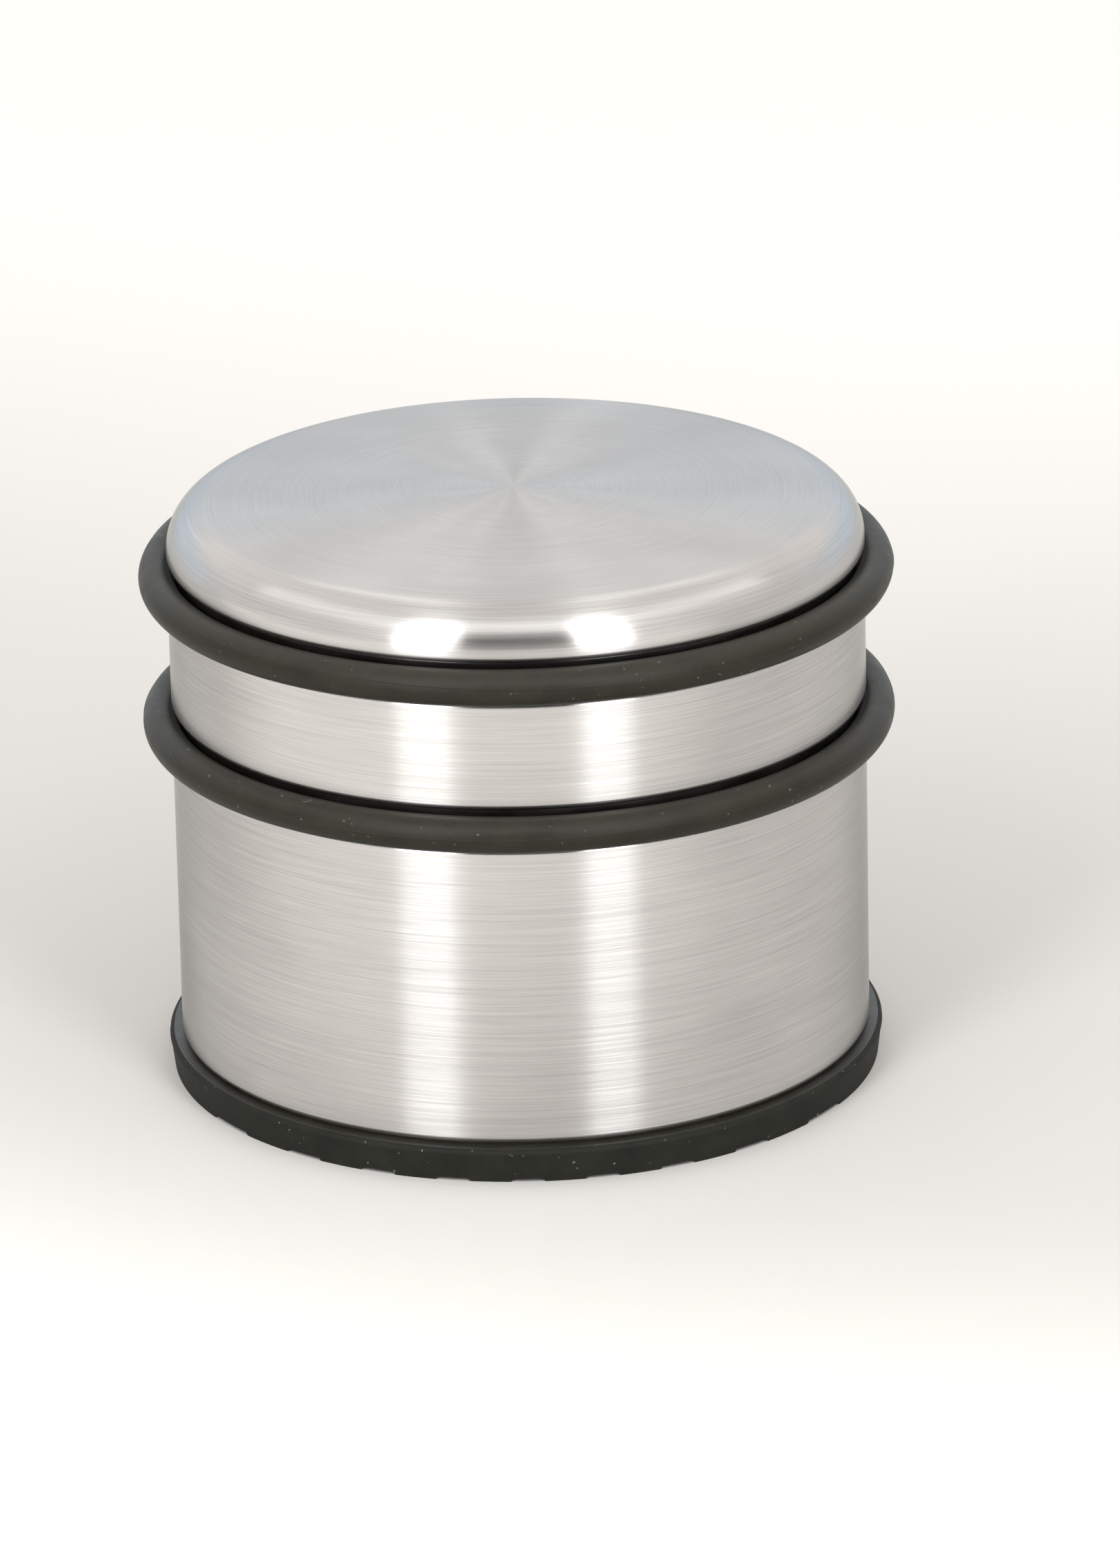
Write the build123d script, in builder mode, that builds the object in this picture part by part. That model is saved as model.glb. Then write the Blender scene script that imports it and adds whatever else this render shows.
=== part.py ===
from build123d import *
import math
import os

# A free-standing door stop: a weighted stainless steel drum with two rubber bumper
# rings round its upper part and a treaded rubber foot glued under it.
#
# Frame: +Z up, origin on the floor under the middle of the foot, +X to the right and
# +Y to the back. The drum's axis is Z. All sizes are in millimetres.

# The whole object
OVERALL_HEIGHT = 71.6
DRUM_RADIUS = 41.5

# The drawn shell
SHEET = 0.4
CROWN_RADIUS = 520.0
SHOULDER_RADIUS = 5.3
HEM_BEND_RADIUS = 0.8
HEM_WIDTH = 3.5

# The two rolled grooves, each as high as twice GROOVE_HALF_HEIGHT
GROOVE_HALF_HEIGHT = 2.5
GROOVE_LIP_RADIUS = 0.6
GROOVE_ROOT_RADIUS = 0.3

# The bumper rings
RING_SECTION_RADIUS = 2.15
UPPER_RING_HEIGHT = 61.6
LOWER_RING_HEIGHT = 43.55

# The foot, its tread and what joins it to the drum
FOOT_HEIGHT = 4.1
FOOT_RADIUS = 43.1
FOOT_DRAFT = 0.5
FOOT_EDGE_RADIUS = 0.4
TREAD_PITCH = 8.8
TREAD_BAR_WIDTH = 5.0
TREAD_DEPTH = 0.35
TREAD_GROOVES = 9
ADHESIVE_THICKNESS = 0.2
ADHESIVE_INSET = 1.2
CLOSING_DISC_THICKNESS = 0.8
CLOSING_DISC_CLEARANCE = 0.1

# Worked out from the sizes above
SHELL_BOTTOM = FOOT_HEIGHT + ADHESIVE_THICKNESS
HEM_OPENING_RADIUS = DRUM_RADIUS - HEM_WIDTH
GROOVE_FLOOR_RADIUS = DRUM_RADIUS - GROOVE_LIP_RADIUS - GROOVE_ROOT_RADIUS
RING_RADIUS = GROOVE_FLOOR_RADIUS + RING_SECTION_RADIUS
GROOVE_HEIGHTS = (UPPER_RING_HEIGHT, LOWER_RING_HEIGHT)


def cap_outline(inset):
    """Draw the crown and the shoulder, from the axis to the top of the wall.

    The shoulder's arc is tangent to the wall and to the crown.
    """
    crown_centre = OVERALL_HEIGHT - CROWN_RADIUS
    shoulder_x = DRUM_RADIUS - SHOULDER_RADIUS
    rise = math.sqrt((CROWN_RADIUS - SHOULDER_RADIUS) ** 2 - shoulder_x**2)
    shoulder_z = crown_centre + rise
    tangent = math.degrees(math.atan2(rise, shoulder_x))
    CenterArc((0, crown_centre), CROWN_RADIUS - inset, 90, tangent - 90)
    CenterArc((shoulder_x, shoulder_z), SHOULDER_RADIUS - inset, tangent, -tangent)
    return shoulder_z


def groove_outline(inset, height):
    """Draw one rolled groove, from its upper lip to its lower lip."""
    lip_x = DRUM_RADIUS - GROOVE_LIP_RADIUS
    lip_z = GROOVE_HALF_HEIGHT + GROOVE_LIP_RADIUS
    root_z = GROOVE_HALF_HEIGHT - GROOVE_ROOT_RADIUS
    lip = GROOVE_LIP_RADIUS - inset
    root = GROOVE_ROOT_RADIUS + inset
    floor_x = GROOVE_FLOOR_RADIUS - inset
    CenterArc((lip_x, height + lip_z), lip, 0, -90)
    CenterArc((lip_x, height + root_z), root, 90, 90)
    Line((floor_x, height + root_z), (floor_x, height - root_z))
    CenterArc((lip_x, height - root_z), root, 180, 90)
    CenterArc((lip_x, height - lip_z), lip, 90, -90)
    return lip_z


def drum_outline(inset):
    """Draw the drum's outline at a depth of inset below its outer surface.

    It runs from the middle of the crown, down the wall with its two grooves, to the
    inner edge of the hem.
    """
    wall_x = DRUM_RADIUS - inset
    wall_top = cap_outline(inset)
    for height in GROOVE_HEIGHTS:
        lip_z = groove_outline(inset, height)
        Line((wall_x, wall_top), (wall_x, height + lip_z))
        wall_top = height - lip_z
    bend_x = DRUM_RADIUS - HEM_BEND_RADIUS
    bend_z = SHELL_BOTTOM + HEM_BEND_RADIUS
    Line((wall_x, wall_top), (wall_x, bend_z))
    CenterArc((bend_x, bend_z), HEM_BEND_RADIUS - inset, 0, -90)
    Line((bend_x, SHELL_BOTTOM + inset), (HEM_OPENING_RADIUS, SHELL_BOTTOM + inset))


# One sheet of stainless steel, drawn into a cup, with the grooves rolled into its wall
# and its open end turned in
with BuildPart() as outer_shell:
    with BuildSketch(Plane.XZ):
        with BuildLine():
            drum_outline(0)
            drum_outline(SHEET)
            Line((0, OVERALL_HEIGHT - SHEET), (0, OVERALL_HEIGHT))
            Line((HEM_OPENING_RADIUS, SHELL_BOTTOM), (HEM_OPENING_RADIUS, SHELL_BOTTOM + SHEET))
        make_face()
    revolve(axis=Axis.Z)

# Concrete cast into the upturned shell, so it has the shape of the shell's inside
with BuildPart() as ballast_block:
    ballast_bottom = SHELL_BOTTOM + CLOSING_DISC_THICKNESS
    with BuildSketch(Plane.XZ):
        with BuildLine():
            drum_outline(SHEET)
            Polyline(
                (HEM_OPENING_RADIUS, SHELL_BOTTOM + SHEET),
                (HEM_OPENING_RADIUS, ballast_bottom),
                (0, ballast_bottom),
                (0, OVERALL_HEIGHT - SHEET),
            )
        make_face()
    revolve(axis=Axis.Z)

# A steel disc pressed on to the wet concrete, flush with the hem
with BuildPart() as closing_disc:
    with BuildSketch(Plane.XY.offset(SHELL_BOTTOM)):
        Circle(HEM_OPENING_RADIUS - CLOSING_DISC_CLEARANCE)
    extrude(amount=CLOSING_DISC_THICKNESS)

# The layer of glue that holds the foot under the disc and the hem
with BuildPart() as foot_adhesive:
    with BuildSketch(Plane.XY.offset(FOOT_HEIGHT)):
        Circle(DRUM_RADIUS - ADHESIVE_INSET)
    extrude(amount=ADHESIVE_THICKNESS)

# The moulded foot: a slightly tapered disc with straight bars from front to back on
# its underside
with BuildPart() as rubber_foot:
    with BuildSketch(Plane.XZ):
        with BuildLine():
            Polyline(
                (0, 0),
                (FOOT_RADIUS - FOOT_DRAFT, 0),
                (FOOT_RADIUS, FOOT_HEIGHT),
                (0, FOOT_HEIGHT),
                close=True,
            )
        make_face()
    revolve(axis=Axis.Z)
    top_rim = rubber_foot.edges().filter_by(GeomType.CIRCLE).sort_by(Axis.Z)[-1]
    fillet(top_rim, FOOT_EDGE_RADIUS)
    with BuildSketch(Plane.XY):
        with GridLocations(TREAD_PITCH, 0, TREAD_GROOVES, 1):
            Rectangle(TREAD_PITCH - TREAD_BAR_WIDTH, 2 * FOOT_RADIUS)
    extrude(amount=TREAD_DEPTH, mode=Mode.SUBTRACT)

# The two round-section rings, each stretched over the drum and sitting on its
# groove's floor
with BuildPart() as upper_bumper_ring:
    with BuildSketch(Plane.XZ):
        with Locations((RING_RADIUS, UPPER_RING_HEIGHT)):
            Circle(RING_SECTION_RADIUS)
    revolve(axis=Axis.Z)

with BuildPart() as lower_bumper_ring:
    with BuildSketch(Plane.XZ):
        with Locations((RING_RADIUS, LOWER_RING_HEIGHT)):
            Circle(RING_SECTION_RADIUS)
    revolve(axis=Axis.Z)

outer_shell.part.label = "outer_shell"
ballast_block.part.label = "ballast_block"
closing_disc.part.label = "closing_disc"
foot_adhesive.part.label = "foot_adhesive"
rubber_foot.part.label = "rubber_foot"
upper_bumper_ring.part.label = "upper_bumper_ring"
lower_bumper_ring.part.label = "lower_bumper_ring"

os.makedirs("parts", exist_ok=True)
export_step(outer_shell.part, "parts/outer_shell.step")
export_step(ballast_block.part, "parts/ballast_block.step")
export_step(closing_disc.part, "parts/closing_disc.step")
export_step(foot_adhesive.part, "parts/foot_adhesive.step")
export_step(rubber_foot.part, "parts/rubber_foot.step")
export_step(upper_bumper_ring.part, "parts/upper_bumper_ring.step")
export_step(lower_bumper_ring.part, "parts/lower_bumper_ring.step")
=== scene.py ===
import math

import bpy
import numpy as np
from mathutils import Matrix, Vector


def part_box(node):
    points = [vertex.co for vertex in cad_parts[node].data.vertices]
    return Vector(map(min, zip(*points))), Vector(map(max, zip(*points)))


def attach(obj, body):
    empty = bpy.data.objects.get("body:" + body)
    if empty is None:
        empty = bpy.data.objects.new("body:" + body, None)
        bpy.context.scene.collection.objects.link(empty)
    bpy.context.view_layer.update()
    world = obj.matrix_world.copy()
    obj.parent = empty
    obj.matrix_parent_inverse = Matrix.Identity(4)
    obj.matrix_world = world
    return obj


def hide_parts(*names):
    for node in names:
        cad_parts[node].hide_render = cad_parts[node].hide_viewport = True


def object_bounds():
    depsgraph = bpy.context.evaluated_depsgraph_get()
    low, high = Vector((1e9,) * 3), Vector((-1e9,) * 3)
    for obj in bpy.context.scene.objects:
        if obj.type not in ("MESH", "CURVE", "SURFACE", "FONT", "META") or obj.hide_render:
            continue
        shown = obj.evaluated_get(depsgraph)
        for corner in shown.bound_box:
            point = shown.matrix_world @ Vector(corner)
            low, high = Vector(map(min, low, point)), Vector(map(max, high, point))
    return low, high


# A free-standing door stop: a brushed steel drum with two rubber bumper rings and a
# treaded rubber foot. Lengths are in metres and angles in degrees.

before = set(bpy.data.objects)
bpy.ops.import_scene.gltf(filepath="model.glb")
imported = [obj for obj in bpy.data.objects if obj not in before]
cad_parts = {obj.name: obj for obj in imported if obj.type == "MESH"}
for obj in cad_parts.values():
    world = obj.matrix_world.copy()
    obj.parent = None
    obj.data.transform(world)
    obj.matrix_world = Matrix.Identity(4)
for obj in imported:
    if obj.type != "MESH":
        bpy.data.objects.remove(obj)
CAD_LOW, CAD_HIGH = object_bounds()
OBJECT_MIDDLE = (CAD_LOW + CAD_HIGH) / 2
MM = 0.001

# The drawn steel shell, which has one outline for its outside and one for its inside
SHEET = 0.4 * MM
CROWN_RADIUS = 520 * MM
SHOULDER_RADIUS = 5.3 * MM
HEM_BEND_RADIUS = 0.8 * MM
GROOVE_HALF_HEIGHT = 2.5 * MM
GROOVE_LIP_RADIUS = 0.6 * MM
GROOVE_ROOT_RADIUS = 0.3 * MM
DISC_CLEARANCE = 0.1 * MM

# Where the brush marks grow from faint on the crown to plain on the wall, measured
# along the outline from the middle of the crown
CROWN_END = 35 * MM
WALL_START = 45 * MM
CROWN_MARKS = 0.4

# The moulded rings: a round section with the thin flash line of its mould, which
# wanders up and down because each ring went on slightly twisted. FLASH_WIDTH,
# FLASH_REST and FLASH_TWIST are angles round the section, and so is FLASH_CLEAR, the
# room left on each side of the flash line before the even steps begin
FLASH_HEIGHT = 0.05 * MM
FLASH_WIDTH = 1.6
FLASH_REST = 25
FLASH_TWIST = 24
FLASH_CLEAR = 10
RING_WAVE = 0.06 * MM

# The moulded foot and its tread
FOOT_DRAFT = 0.5 * MM
FOOT_EDGE_RADIUS = 0.6 * MM
FOOT_SIDE_START = 0.8 * MM
FOOT_SIDE_END = 3.3 * MM
FOOT_LEDGE_WIDTH = 1.8 * MM
TREAD_PITCH = 8.8 * MM
TREAD_BAR_WIDTH = 5.0 * MM
TREAD_DEPTH = 0.35 * MM
TREAD_STEP_WIDTH = 0.3 * MM
TREAD_GROOVES = 9
TREAD_GROOVE_HALF = (TREAD_PITCH - TREAD_BAR_WIDTH) / 2

# How finely the meshes are divided
TURN_STEPS = 288
LONGEST_RUN = 2.0 * MM
ARC_STEPS = 10
CROWN_STEPS = 24
SHOULDER_STEPS = 40
INSIDE_SHARE = 0.5
RING_STEPS = 64
FOOT_SIDE_ROWS = 4
TREAD_STEP_ROWS = 7
NARROWEST_COLUMN = 0.02 * MM
CARD_STEPS = 8
SHARP_ANGLE = 40
SAME_POINT = 1e-7

# The camera, aimed a little to the right of the drum's axis
CAMERA_PITCH = 20.48
CAMERA_ROLL = -1.22
CAMERA_DISTANCE = 1.1904
CAMERA_LENS = 228.05
SENSOR = 36
AIM_RIGHT = 4.73 * MM
AIM_UP = -1.85 * MM

# The floor lies just under the foot, so that the two don't share a plane
FLOOR_SIZE = 6
FLOOR_CLEARANCE = 0.02 * MM

# The lights. The two strips make the highlights down the wall, and the flag is a
# black card that makes the dark bar between them on the shoulder. The top lights
# brighten the shoulder, and the back lights make the faint X on the crown
STRIP_DISTANCE = 2.8
STRIP_ELEVATION = 27
STRIP_HEIGHT = 3.2
LEFT_STRIP_WIDTH = 0.75
RIGHT_STRIP_WIDTH = 0.68
STRIP_COLOUR = (0.955, 0.975, 1.0)
STRIP_RADIANCE = 6.8
FLAG_SIZE = (1.85, 2.05)
FLAG_ELEVATION = 18.2
FLAG_DISTANCE = 3.0
LAMP_DISTANCE = 3.5
TOP_DEPTH = 1.0
FRONT_TOP_RADIANCE = 1.4
SIDE_TOP_RADIANCE = 0.7
BACK_AZIMUTH = 169
BACK_ELEVATION = 49
BACK_SIZE = (0.34, 1.5)
BACK_RADIANCE = 1.0

# The studio round them is dimmer at the sides, and cool low at the back
WORLD_RADIANCE = 1.24
SIDE_WORLD_RADIANCE = 0.84


def arc(centre, radius, start, end, steps=ARC_STEPS):
    """Points along a round stretch of an outline, from one angle to another."""
    angles = np.radians(np.linspace(start, end, steps + 1))
    return [(centre[0] + radius * math.cos(a), centre[1] + radius * math.sin(a)) for a in angles]


def spaced(outline, longest):
    """Divide the long straight stretches of an outline and drop repeated points."""
    points = [outline[0]]
    for point in outline[1:]:
        length = math.dist(points[-1], point)
        if length < SAME_POINT:
            continue
        pieces = math.ceil(length / longest)
        x, z = points[-1]
        for i in range(1, pieces + 1):
            points.append((x + (point[0] - x) * i / pieces, z + (point[1] - z) * i / pieces))
    return points


def mesh_object(name, vertices, faces, uvs):
    """Make a smooth-shaded object. uvs holds one pair for each corner of each face."""
    mesh = bpy.data.meshes.new(name)
    mesh.from_pydata(vertices, [], faces)
    layer = mesh.uv_layers.new(name="turning")
    layer.data.foreach_set("uv", np.array(uvs, dtype=np.float32).ravel())
    mesh.shade_smooth()
    mesh.set_sharp_from_angle(angle=math.radians(SHARP_ANGLE))
    mesh.validate()
    made = bpy.data.objects.new(name, mesh)
    bpy.context.scene.collection.objects.link(made)
    normals = made.modifiers.new("even_normals", "WEIGHTED_NORMAL")
    normals.keep_sharp = True
    return made


def turned(name, outline, steps=TURN_STEPS):
    """Turn a closed outline about Z. Points on the axis become single vertices.

    The outline runs clockwise in (radius, height), so that the faces look outwards.
    """
    runs = [math.dist(p, q) for p, q in zip(outline, outline[1:])]
    lengths = np.concatenate([[0], np.cumsum(runs)])
    vertices, rows = [], []
    for radius, height in outline:
        if radius < SAME_POINT:
            rows.append([len(vertices)] * steps)
            vertices.append((0, 0, height))
            continue
        rows.append(list(range(len(vertices), len(vertices) + steps)))
        for i in range(steps):
            a = 2 * math.pi * i / steps
            vertices.append((radius * math.cos(a), radius * math.sin(a), height))
    faces, uvs = [], []
    for k in range(len(outline) - 1):
        for i in range(steps):
            j = (i + 1) % steps
            corners = [(rows[k][i], i, k), (rows[k + 1][i], i, k + 1)]
            corners += [(rows[k + 1][j], i + 1, k + 1), (rows[k][j], i + 1, k)]
            kept = [c for n, c in enumerate(corners) if c[0] != corners[n - 1][0]]
            faces.append([c[0] for c in kept])
            uvs += [(c[1] / steps, lengths[c[2]]) for c in kept]
    return mesh_object(name, vertices, faces, uvs)


def shell_outline(inset, share=1.0):
    """The drum's outline at a depth of inset, from the middle of the crown to the hem.

    share is how many of the usual steps each round stretch gets.
    """
    steps = round(ARC_STEPS * share)
    low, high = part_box("outer_shell")
    radius = high.x
    crown_z = high.z - CROWN_RADIUS
    shoulder_x = radius - SHOULDER_RADIUS
    rise = math.sqrt((CROWN_RADIUS - SHOULDER_RADIUS) ** 2 - shoulder_x**2)
    tangent = math.degrees(math.atan2(rise, shoulder_x))
    points = arc((0, crown_z), CROWN_RADIUS - inset, 90, tangent, round(CROWN_STEPS * share))
    shoulder = (shoulder_x, crown_z + rise)
    points += arc(shoulder, SHOULDER_RADIUS - inset, tangent, 0, round(SHOULDER_STEPS * share))
    lip_x = radius - GROOVE_LIP_RADIUS
    lip = GROOVE_LIP_RADIUS - inset
    root = GROOVE_ROOT_RADIUS + inset
    lip_z = GROOVE_HALF_HEIGHT + GROOVE_LIP_RADIUS
    root_z = GROOVE_HALF_HEIGHT - GROOVE_ROOT_RADIUS
    for ring in ("upper_bumper_ring", "lower_bumper_ring"):
        ring_low, ring_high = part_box(ring)
        middle = (ring_low.z + ring_high.z) / 2
        points += arc((lip_x, middle + lip_z), lip, 0, -90, steps)
        points += arc((lip_x, middle + root_z), root, 90, 180, steps)
        points += arc((lip_x, middle - root_z), root, 180, 270, steps)
        points += arc((lip_x, middle - lip_z), lip, 90, 0, steps)
    bend = (radius - HEM_BEND_RADIUS, low.z + HEM_BEND_RADIUS)
    points += arc(bend, HEM_BEND_RADIUS - inset, 0, -90, steps)
    hem_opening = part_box("closing_disc")[1].x + DISC_CLEARANCE
    points.append((hem_opening, low.z + inset))
    return spaced(points, LONGEST_RUN)


def bumper_ring(name, node, twist_start):
    """A round rubber ring whose flash line climbs and drops as it goes round.

    twist_start is how far round the ring the line's waves are moved.
    """
    low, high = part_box(node)
    section = (high.z - low.z) / 2
    radius = high.x - section
    middle = (high.z + low.z) / 2
    one_side = np.array([0.5, 1, 1.5, 2, 3, 4, 6])
    near = np.concatenate([-one_side[::-1], [0], one_side]) * FLASH_WIDTH / 2
    far = np.linspace(FLASH_CLEAR, 360 - FLASH_CLEAR, RING_STEPS)
    offsets = np.concatenate([near, far])
    swell = FLASH_HEIGHT * np.exp(-((near / (FLASH_WIDTH / 2)) ** 2))
    radii = section + np.concatenate([swell, np.zeros(len(far))])
    count = len(offsets)
    vertices, faces, uvs = [], [], []
    for i in range(TURN_STEPS):
        turn = 2 * math.pi * i / TURN_STEPS
        start = FLASH_REST + FLASH_TWIST * math.sin(turn + math.radians(twist_start))
        lift = RING_WAVE * math.sin(2 * turn + math.radians(3 * twist_start))
        for offset, r in zip(offsets, radii):
            a = math.radians(start + offset)
            x = radius + r * math.cos(a)
            vertices.append((x * math.cos(turn), x * math.sin(turn), middle + lift + r * math.sin(a)))
        for k in range(count):
            j, n = (i + 1) % TURN_STEPS, (k + 1) % count
            faces.append((i * count + k, j * count + k, j * count + n, i * count + n))
            top = 1 if n == 0 else offsets[n] / 360
            uvs += [(i / TURN_STEPS, offsets[k] / 360), ((i + 1) / TURN_STEPS, offsets[k] / 360)]
            uvs += [((i + 1) / TURN_STEPS, top), (i / TURN_STEPS, top)]
    return mesh_object(name, vertices, faces, uvs)


def tread_height(x):
    """Height of the foot's underside at x: 0 on a bar and TREAD_DEPTH in a groove."""
    across = TREAD_PITCH * TREAD_GROOVES
    if abs(x) > across / 2:
        return 0
    from_groove = TREAD_PITCH / 2 - abs((x + across) % TREAD_PITCH - TREAD_PITCH / 2)
    share = np.clip((TREAD_GROOVE_HALF - from_groove) / TREAD_STEP_WIDTH + 0.5, 0, 1)
    return TREAD_DEPTH * float(share * share * (3 - 2 * share))


def tread_columns(radius):
    """The x values at which the foot is divided, close together at each step."""
    half = (TREAD_GROOVES - 1) / 2
    columns = set(np.round(-radius * np.cos(np.linspace(0, math.pi, TURN_STEPS // 2 + 1)), 7))
    for n in np.arange(-half, half + 1):
        for side in (-1, 1):
            edge = n * TREAD_PITCH + side * TREAD_GROOVE_HALF
            across = np.linspace(-0.5, 0.5, TREAD_STEP_ROWS) * TREAD_STEP_WIDTH
            columns |= set(np.round(edge + across, 7))
    kept = []
    for x in sorted(c for c in columns if abs(c) <= radius + 1e-9):
        if not kept or x - kept[-1] > NARROWEST_COLUMN:
            kept.append(x)
    return kept


def foot_piece(name, node):
    """The foot: straight bars underneath, a slightly tapered side and a rounded rim."""
    low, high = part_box(node)
    height, top_radius = high.z, high.x
    base_radius = top_radius - FOOT_DRAFT
    columns = [x / base_radius for x in tread_columns(base_radius)]
    angles = [math.acos(max(-1, min(1, -c))) for c in columns]
    loop = [(c, -math.sin(a)) for c, a in zip(columns, angles)]
    loop += [(c, math.sin(a)) for c, a in zip(columns[-2:0:-1], angles[-2:0:-1])]
    rim = arc((top_radius - FOOT_EDGE_RADIUS, height - FOOT_EDGE_RADIUS), FOOT_EDGE_RADIUS, 0, 90)
    side_heights = np.linspace(FOOT_SIDE_START, FOOT_SIDE_END, FOOT_SIDE_ROWS)
    side = [(base_radius + FOOT_DRAFT * z / height, z) for z in side_heights]
    outline = side + rim + [(top_radius - FOOT_LEDGE_WIDTH, height)]
    vertices = []
    for c, s in loop:
        z = tread_height(c * base_radius)
        vertices.append((c * base_radius, s * base_radius, z))
    for radius, z in outline:
        vertices += [(c * radius, s * radius, z) for c, s in loop]
    count, rows = len(loop), len(outline) + 1
    faces = []
    for k in range(rows - 1):
        for i in range(count):
            j = (i + 1) % count
            faces.append((k * count + i, k * count + j, (k + 1) * count + j, (k + 1) * count + i))
    last = len(columns) - 1
    back = [0] + list(range(count - 1, last, -1)) + [last]
    for i in range(last):
        bottom = [i, back[i], back[i + 1], i + 1]
        top = [(rows - 1) * count + v for v in reversed(bottom)]
        for face in (bottom, top):
            faces.append([v for n, v in enumerate(face) if v != face[n - 1]])
    uvs = [(vertices[v][0], vertices[v][1]) for face in faces for v in face]
    return mesh_object(name, vertices, faces, uvs)


def add(tree, kind, inputs=(), **settings):
    """Add a node. Each input is a value, or the output socket that feeds it."""
    made = tree.nodes.new(kind)
    for name, value in settings.items():
        setattr(made, name, value)
    for socket, value in dict(inputs).items():
        if isinstance(value, bpy.types.NodeSocket):
            tree.links.new(value, made.inputs[socket])
        else:
            made.inputs[socket].default_value = value
    return made


def calc(tree, operation, *values):
    """A Math node's output."""
    return add(tree, "ShaderNodeMath", enumerate(values), operation=operation).outputs[0]


def noise(tree, place, scale=1.0, detail=2.0, roughness=0.5):
    """A 3-D noise texture's value at place."""
    inputs = {"Vector": place, "Scale": scale, "Detail": detail, "Roughness": roughness}
    return add(tree, "ShaderNodeTexNoise", inputs).outputs[0]


def ramp(tree, value, *stops):
    """A colour ramp. Each stop is a position and a grey or a colour."""
    made = add(tree, "ShaderNodeValToRGB", {0: value})
    while len(made.color_ramp.elements) < len(stops):
        made.color_ramp.elements.new(0.5)
    for element, (position, colour) in zip(made.color_ramp.elements, stops):
        element.position = position
        rgb = (colour,) * 3 if isinstance(colour, (int, float)) else colour
        element.color = (*rgb, 1)
    return made.outputs[0]


def spread(tree, value, low, high):
    """Map a noise value from its usual range to the range low to high."""
    inputs = {"Value": value, "From Min": 0.3, "From Max": 0.7, "To Min": low, "To Max": high}
    return add(tree, "ShaderNodeMapRange", inputs).outputs[0]


def new_material(name, **shader):
    """A material with a Principled shader whose even values are set on its sockets."""
    material = bpy.data.materials.new(name)
    material.use_nodes = True
    tree = material.node_tree
    principled = tree.nodes["Principled BSDF"]
    for socket, value in shader.items():
        principled.inputs[socket.replace("_", " ")].default_value = value
    return material, tree, principled


def feed(tree, principled, **sockets):
    """Link outputs to the shader's sockets, named with _ for a space."""
    for socket, output in sockets.items():
        tree.links.new(output, principled.inputs[socket.replace("_", " ")])


def bump(tree, height, distance, strength=1.0):
    """A Bump node's normal for a height given as a share of distance."""
    inputs = {"Height": height, "Distance": distance, "Strength": strength}
    return add(tree, "ShaderNodeBump", inputs).outputs[0]


def turning(tree):
    """The share of a turn round the drum, and the length along its outline."""
    uv = add(tree, "ShaderNodeUVMap", uv_map="turning").outputs[0]
    return add(tree, "ShaderNodeSeparateXYZ", {0: uv}).outputs[:2]


def turning_place(tree, round_scale, along_scale):
    """Texture coordinates that are stretched round the drum and have no seam."""
    u, v = turning(tree)
    angle = calc(tree, "MULTIPLY", u, 2 * math.pi)
    x = calc(tree, "MULTIPLY", calc(tree, "COSINE", angle), round_scale)
    y = calc(tree, "MULTIPLY", calc(tree, "SINE", angle), round_scale)
    z = calc(tree, "MULTIPLY", v, along_scale)
    return add(tree, "ShaderNodeCombineXYZ", {0: x, 1: y, 2: z}).outputs[0]


def object_place(tree):
    """Texture coordinates in the object's own metres."""
    return add(tree, "ShaderNodeTexCoord").outputs["Object"]


def brushed_steel():
    """Stainless steel brushed round the drum and in circles on the crown."""
    material, tree, shader = new_material(
        "brushed_steel",
        Metallic=1.0,
        Specular_Tint=(0.68, 0.675, 0.665, 1),
        Anisotropic=0.97,
        Anisotropic_Rotation=0.25,
    )
    fine = noise(tree, turning_place(tree, 3.5, 11000), detail=1.5, roughness=0.5)
    lines = noise(tree, turning_place(tree, 2.5, 6500), detail=1.5, roughness=0.5)
    patches = noise(tree, turning_place(tree, 2, 60), detail=2)
    grain = calc(tree, "MULTIPLY_ADD", fine, 0.5, calc(tree, "MULTIPLY", lines, 0.5))
    along = turning(tree)[1]
    inputs = {"Value": along, "From Min": CROWN_END, "From Max": WALL_START, "To Min": CROWN_MARKS}
    coarseness = add(tree, "ShaderNodeMapRange", inputs).outputs[0]
    marks = calc(tree, "MULTIPLY", calc(tree, "SUBTRACT", grain, 0.5), coarseness)
    tone = calc(tree, "MULTIPLY_ADD", patches, 0.25, calc(tree, "MULTIPLY_ADD", marks, 0.75, 0.375))
    colour = ramp(tree, tone, (0.36, (0.485, 0.473, 0.463)), (0.64, (0.645, 0.63, 0.617)))
    tangent = add(tree, "ShaderNodeTangent", direction_type="RADIAL", axis="Z").outputs[0]
    feed(
        tree,
        shader,
        Base_Color=colour,
        Roughness=spread(tree, grain, 0.213, 0.242),
        Normal=bump(tree, marks, 0.0007 * MM),
        Tangent=tangent,
    )
    return material


def painted_shade_steel():
    """The same steel as it came from the mill, where the brush doesn't reach, with a darker colour that is
    painted shade making the gap above each ring black.
    """
    material, tree, shader = new_material("painted_shade_steel", Metallic=1.0)
    haze = noise(tree, turning_place(tree, 5, 700), detail=3)
    # The dark base colour is painted shade for the grooves; the lower roughness is the unbrushed finish
    feed(
        tree,
        shader,
        Base_Color=ramp(tree, haze, (0.3, (0.3, 0.29, 0.28)), (0.7, (0.4, 0.39, 0.375))),
        Roughness=spread(tree, haze, 0.14, 0.24),
        Normal=bump(tree, haze, 0.003 * MM),
    )
    return material


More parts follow.
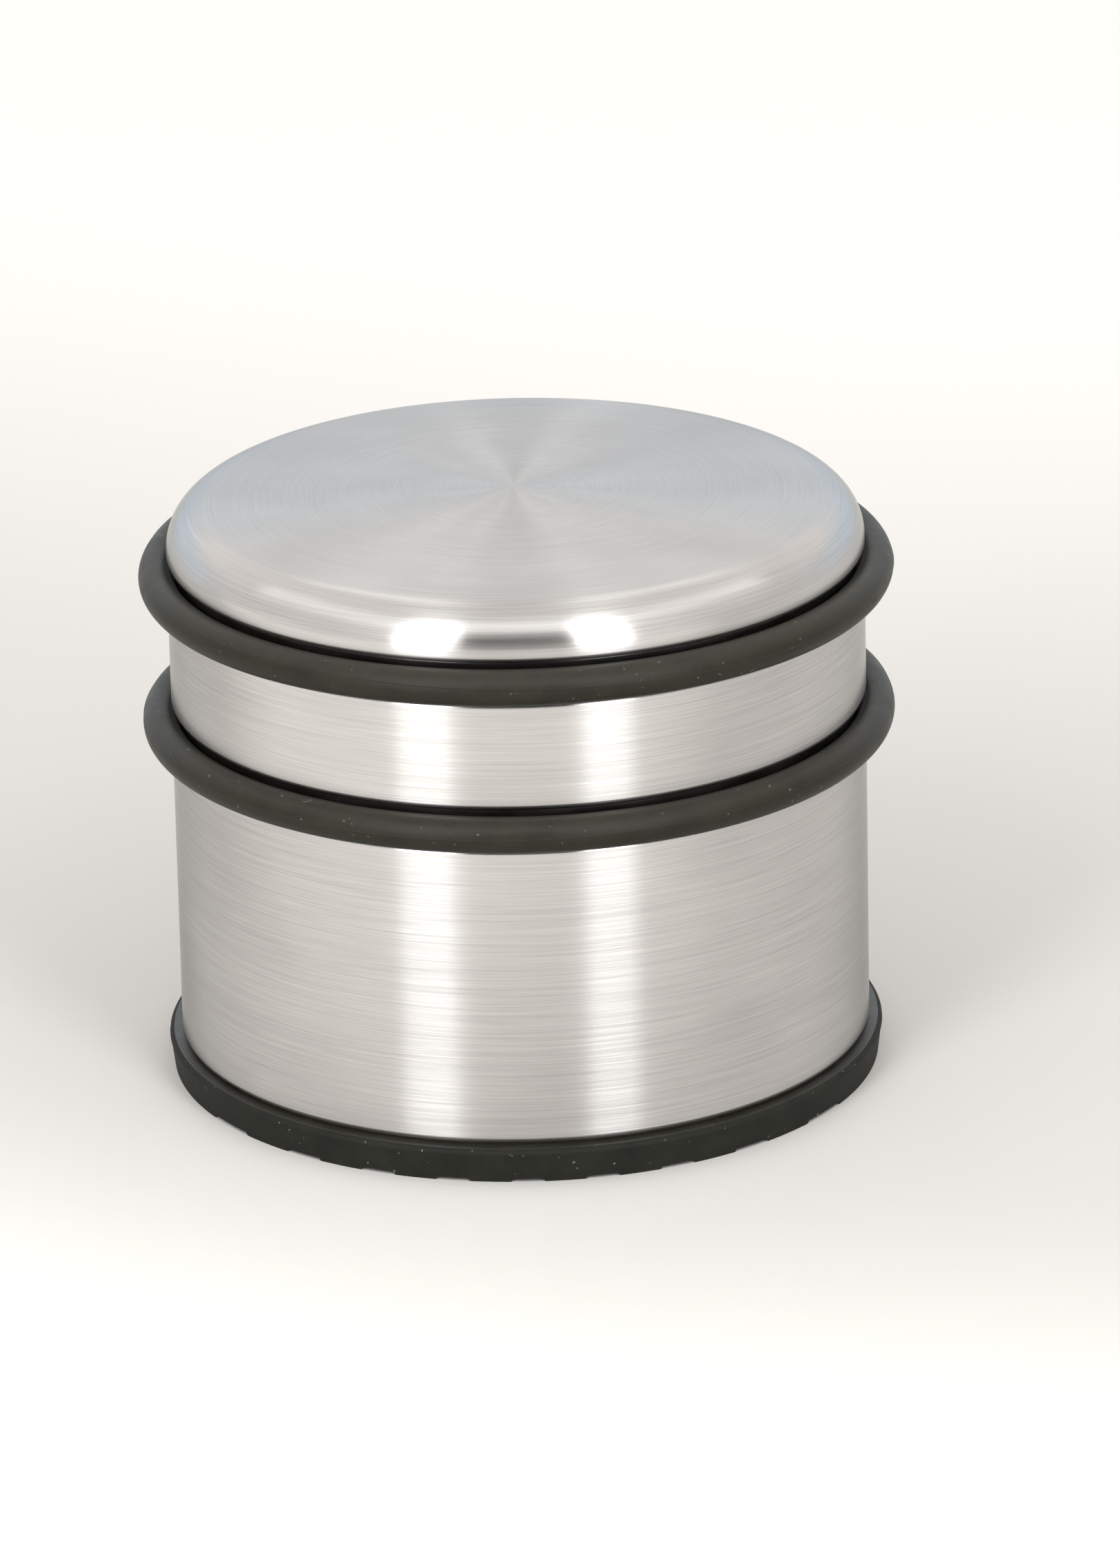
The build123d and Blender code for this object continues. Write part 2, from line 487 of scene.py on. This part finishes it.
def rubber(name, dark, light, roughness, gloss, speck, top_light=0.0):
    """Moulded rubber: soft mottling, a fine grain and a few pale specks of dust.

    The last argument is how much of a pale, dust-coloured film lies on what faces up: painted light on the
    top.
    """
    material, tree, shader = new_material(name, Specular_IOR_Level=gloss)
    place = object_place(tree)
    mottle = noise(tree, place, 220, 4, 0.6)
    grain = noise(tree, place, 4200, 3, 0.6)
    specks = ramp(tree, noise(tree, place, 1500, 1, 0.4), (0.74, 0), (0.8, speck))
    # A pale film on what faces up, which is painted light on the top; the specks are real dust
    normal = add(tree, "ShaderNodeNewGeometry").outputs["Normal"]
    upward = add(tree, "ShaderNodeSeparateXYZ", {0: normal}).outputs[2]
    inputs = {"Value": upward, "From Min": 0.25, "From Max": 0.95, "To Max": top_light}
    top_light_film = add(tree, "ShaderNodeMapRange", inputs).outputs[0]
    specks_and_top_light = calc(tree, "MAXIMUM", specks, top_light_film)
    base = ramp(tree, mottle, (0.35, dark), (0.65, light))
    mix = add(tree, "ShaderNodeMix", {0: specks_and_top_light, 6: base, 7: (0.3, 0.29, 0.26, 1)}, data_type="RGBA")
    feed(
        tree,
        shader,
        Base_Color=mix.outputs[2],
        Roughness=spread(tree, mottle, roughness - 0.06, roughness + 0.06),
        Normal=bump(tree, grain, 0.02 * MM, 0.6),
    )
    return material


def concrete():
    """Cast concrete: grey cement paste with sand grains and small air pores."""
    material, tree, shader = new_material("cast_concrete", Specular_IOR_Level=0.3)
    place = object_place(tree)
    paste = noise(tree, place, 120, 5, 0.6)
    sand = noise(tree, place, 1400, 3, 0.7)
    pores = add(tree, "ShaderNodeTexVoronoi", {"Vector": place, "Scale": 260.0}).outputs[0]
    pits = ramp(tree, pores, (0.08, 0), (0.16, 1))
    tone = calc(tree, "MULTIPLY_ADD", sand, 0.4, calc(tree, "MULTIPLY", paste, 0.6))
    height = calc(tree, "MULTIPLY_ADD", pits, 0.7, calc(tree, "MULTIPLY", sand, 0.3))
    feed(
        tree,
        shader,
        Base_Color=ramp(tree, tone, (0.35, (0.30, 0.295, 0.27)), (0.65, (0.47, 0.46, 0.43))),
        Roughness=spread(tree, sand, 0.82, 0.95),
        Normal=bump(tree, height, 0.2 * MM),
    )
    return material


def zinc_plate():
    """Zinc-plated sheet: a dull blue-grey with the faint crystals of the plating."""
    material, tree, shader = new_material("zinc_plate", Metallic=1.0)
    place = object_place(tree)
    crystals = add(tree, "ShaderNodeTexVoronoi", {"Vector": place, "Scale": 420.0}).outputs["Color"]
    tone = add(tree, "ShaderNodeRGBToBW", {0: crystals}).outputs[0]
    haze = noise(tree, place, 90, 3, 0.5)
    value = calc(tree, "MULTIPLY_ADD", tone, 0.35, calc(tree, "MULTIPLY", haze, 0.65))
    feed(
        tree,
        shader,
        Base_Color=ramp(tree, value, (0.3, (0.45, 0.47, 0.5)), (0.7, (0.62, 0.63, 0.66))),
        Roughness=spread(tree, haze, 0.38, 0.55),
        Normal=bump(tree, value, 0.01 * MM),
    )
    return material


def cured_glue():
    """Amber contact adhesive: streaked where it was spread, with small bubbles."""
    material, tree, shader = new_material("cured_glue", Specular_IOR_Level=0.4)
    place = object_place(tree)
    streaks = noise(tree, place, 180, 4, 0.65)
    bubbles = add(tree, "ShaderNodeTexVoronoi", {"Vector": place, "Scale": 700.0}).outputs[0]
    height = calc(tree, "MULTIPLY_ADD", bubbles, 0.4, streaks)
    feed(
        tree,
        shader,
        Base_Color=ramp(tree, streaks, (0.35, (0.5, 0.4, 0.2)), (0.65, (0.7, 0.63, 0.42))),
        Roughness=spread(tree, streaks, 0.45, 0.65),
        Normal=bump(tree, height, 0.05 * MM),
    )
    return material


def pale_floor():
    """A pale studio floor.

    Its tone is painted light and shade along a line from the front to the back, a little to the right,
    because the drum's wall mirrors it: darker far in front, brightest a little in front of the drum, a
    painted shadow level with and behind it, and paler again further back.
    """
    material, tree, shader = new_material("pale_floor", Specular_IOR_Level=0.0, Roughness=0.9)
    place = object_place(tree)
    x, y, _ = add(tree, "ShaderNodeSeparateXYZ", {0: place}).outputs
    towards = calc(tree, "MULTIPLY_ADD", x, 0.35, calc(tree, "MULTIPLY", y, 0.94))
    wander = calc(tree, "MULTIPLY_ADD", noise(tree, place, 3, 2), 0.04, towards)
    inputs = {"Value": wander, "From Min": -1.3, "From Max": 0.42}
    share = add(tree, "ShaderNodeMapRange", inputs).outputs[0]
    # Painted light and shade: the bright stop is a painted pool of light in front of the drum, and the two
    # darker stops are a painted shadow beside and behind it
    far_front, near = (0.4, 0.39, 0.375), (0.89, 0.873, 0.84)
    shade_beside, shade_behind, far_back = (0.59, 0.578, 0.555), (0.585, 0.573, 0.55), (0.72, 0.71, 0.69)
    in_front = ((0.17, far_front), (0.55, near), (0.683, near))
    past_front = ((0.759, shade_beside), (0.816, shade_behind), (0.952, far_back))
    colour = ramp(tree, share, *in_front, *past_front)
    colour.node.color_ramp.interpolation = "EASE"
    feed(tree, shader, Base_Color=colour)
    return material


def flag_cloth():
    """Black cloth on a studio flag."""
    material, tree, shader = new_material("flag_cloth", Specular_IOR_Level=0.0, Roughness=1.0)
    tone = noise(tree, object_place(tree), 900, 2)
    feed(tree, shader, Base_Color=ramp(tree, tone, (0.3, 0.01), (0.7, 0.03)))
    return material


# The pieces
outside, inside = shell_outline(0), shell_outline(SHEET, INSIDE_SHARE)
shell = turned("steel_shell", outside + inside[::-1])
shell.data.materials.append(brushed_steel())
shell.data.materials.append(painted_shade_steel())
# The faces in the grooves and on the inside get the unbrushed steel, whose darker colour is painted shade
# in the gap above each ring
brushed_faces = (len(outside) - 1) * TURN_STEPS
lip_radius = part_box("outer_shell")[1].x - GROOVE_LIP_RADIUS
cap_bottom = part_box("upper_bumper_ring")[1].z
for face in shell.data.polygons:
    in_groove = math.hypot(*face.center[:2]) < lip_radius and face.center.z < cap_bottom
    face.material_index = int(in_groove or face.index >= brushed_faces)
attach(shell, "root")
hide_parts("outer_shell")

# The rings get a pale film on what faces up, which is painted light on their tops, besides real dust
# specks
ring_rubber = rubber(
    "ring_rubber",
    dark=(0.0114, 0.0105, 0.0062),
    light=(0.0180, 0.0165, 0.0102),
    roughness=0.46,
    gloss=0.2,
    speck=0.3,
    top_light=0.045,
)
for name, node, twist in (
    ("upper_ring", "upper_bumper_ring", 300),
    ("lower_ring", "lower_bumper_ring", 20),
):
    ring = bumper_ring(name, node, twist)
    ring.data.materials.append(ring_rubber)
    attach(ring, "root")
    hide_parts(node)

foot = foot_piece("treaded_foot", "rubber_foot")
foot_rubber = rubber(
    "foot_rubber",
    dark=(0.008, 0.0082, 0.0058),
    light=(0.0148, 0.015, 0.011),
    roughness=0.7,
    gloss=0.18,
    speck=0.45,
)
# The foot's flat top is the same rubber, smoother and glossier, with a paler colour that is painted light
# on the ledge
foot_top_painted_light_rubber = rubber(
    "foot_top_painted_light_rubber",
    dark=(0.016, 0.0155, 0.012),
    light=(0.024, 0.0235, 0.019),
    roughness=0.4,
    gloss=0.42,
    speck=0.3,
)
foot.data.materials.append(foot_rubber)
foot.data.materials.append(foot_top_painted_light_rubber)
top_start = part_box("rubber_foot")[1].z - 0.02 * FOOT_EDGE_RADIUS
for face in foot.data.polygons:
    face.material_index = int(face.center.z > top_start)
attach(foot, "root")
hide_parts("rubber_foot")

for node, material in (
    ("ballast_block", concrete()),
    ("closing_disc", zinc_plate()),
    ("foot_adhesive", cured_glue()),
):
    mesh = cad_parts[node].data
    mesh.materials.clear()
    mesh.materials.append(material)


def rectangle(name, width, height):
    """A flat rectangle in its own XY plane, divided so that it isn't one face."""
    row = CARD_STEPS + 1
    xs, ys = np.linspace(-width / 2, width / 2, row), np.linspace(-height / 2, height / 2, row)
    vertices = [(x, y, 0) for y in ys for x in xs]
    starts = [i + row * j for j in range(CARD_STEPS) for i in range(CARD_STEPS)]
    faces = [(v, v + 1, v + row + 1, v + row) for v in starts]
    mesh = bpy.data.meshes.new(name)
    mesh.from_pydata(vertices, [], faces)
    made = bpy.data.objects.new(name, mesh)
    bpy.context.scene.collection.objects.link(made)
    return made


def place_round(thing, azimuth, elevation, distance, upright=False):
    """Put a light or a card round the object, facing it. Azimuth 0 is the front.

    An upright one stands vertically, and any other leans to face the object's middle.
    """
    a, e = math.radians(azimuth), math.radians(elevation)
    away = Vector((math.sin(a) * math.cos(e), -math.cos(a) * math.cos(e), math.sin(e)))
    facing = Vector((away.x, away.y, 0)) if upright else away
    thing.location = OBJECT_MIDDLE + away * distance
    thing.rotation_euler = facing.to_track_quat("Z", "Y").to_euler()
    thing.visible_camera = False


def softbox(name, place, size, radiance, colour=(1, 1, 1), upright=False):
    """A rectangular area light of that radiance, which the camera doesn't see itself."""
    light = bpy.data.lights.new(name, "AREA")
    light.shape = "RECTANGLE"
    light.size, light.size_y = size
    light.energy = radiance * math.pi * size[0] * size[1]
    light.color = colour
    made = bpy.data.objects.new(name, light)
    bpy.context.scene.collection.objects.link(made)
    place_round(made, *place, upright)
    return made


floor = rectangle("floor", FLOOR_SIZE, FLOOR_SIZE)
floor.location.z = CAD_LOW.z - FLOOR_CLEARANCE
floor.data.materials.append(pale_floor())

flag = rectangle("flag", *FLAG_SIZE)
place_round(flag, 0, FLAG_ELEVATION, FLAG_DISTANCE, upright=True)
flag.data.materials.append(flag_cloth())

for name, azimuth, width in (
    ("left_strip", -30.5, LEFT_STRIP_WIDTH),
    ("right_strip", 28.5, RIGHT_STRIP_WIDTH),
):
    place = (azimuth, STRIP_ELEVATION, STRIP_DISTANCE)
    softbox(name, place, (width, STRIP_HEIGHT), STRIP_RADIANCE, STRIP_COLOUR, upright=True)
for name, azimuth, elevation, width, radiance in (
    ("front_top", 0, 53, 3.5, FRONT_TOP_RADIANCE),
    ("left_top", -70, 48, 4.4, SIDE_TOP_RADIANCE),
    ("right_top", 71, 53, 4.2, SIDE_TOP_RADIANCE),
):
    softbox(name, (azimuth, elevation, LAMP_DISTANCE), (width, TOP_DEPTH), radiance)
for name, azimuth in (("left_back", -BACK_AZIMUTH), ("right_back", BACK_AZIMUTH)):
    softbox(name, (azimuth, BACK_ELEVATION, LAMP_DISTANCE), BACK_SIZE, BACK_RADIANCE)


def studio_world():
    """The even light of the studio, as a world whose tone depends on direction."""
    world = bpy.data.worlds.new("studio")
    world.use_nodes = True
    tree = world.node_tree
    sky = add(tree, "ShaderNodeTexCoord").outputs["Generated"]
    sky_x, sky_y, sky_height = add(tree, "ShaderNodeSeparateXYZ", {0: sky}).outputs
    cool, warm, dim = (0.78, 0.885, 1.0), (1.0, 0.965, 0.935), (0.8, 0.775, 0.75)
    back_colour = ramp(tree, sky_height, (0.2, cool), (0.48, warm), (0.8, dim))
    front_colour = ramp(tree, sky_height, (0.48, warm), (0.8, dim))
    inputs = {"Value": sky_y, "From Min": 0.25, "From Max": 0.75}
    backward = add(tree, "ShaderNodeMapRange", inputs).outputs[0]
    inputs = {0: backward, 6: front_colour, 7: back_colour}
    colour = add(tree, "ShaderNodeMix", inputs, data_type="RGBA").outputs[2]
    sideways = calc(tree, "ABSOLUTE", sky_x)
    inputs = {"Value": sideways, "From Min": 0.45, "To Min": WORLD_RADIANCE, "To Max": SIDE_WORLD_RADIANCE}
    strength = add(tree, "ShaderNodeMapRange", inputs).outputs[0]
    background = tree.nodes["Background"]
    tree.links.new(colour, background.inputs["Color"])
    tree.links.new(strength, background.inputs["Strength"])
    return world


bpy.context.scene.world = studio_world()
bpy.context.scene.view_settings.view_transform = "Standard"

camera_data = bpy.data.cameras.new("camera")
camera_data.sensor_width = SENSOR
camera_data.lens = CAMERA_LENS
camera_data.clip_start = 0.05
camera_data.clip_end = 20
camera = bpy.data.objects.new("camera", camera_data)
bpy.context.scene.collection.objects.link(camera)
pitch = Matrix.Rotation(math.radians(90 - CAMERA_PITCH), 4, "X")
roll = Matrix.Rotation(math.radians(CAMERA_ROLL), 4, "Z")
back_off = Matrix.Translation((AIM_RIGHT, AIM_UP, CAMERA_DISTANCE))
camera.matrix_world = Matrix.Translation(OBJECT_MIDDLE) @ pitch @ roll @ back_off
bpy.context.scene.camera = camera
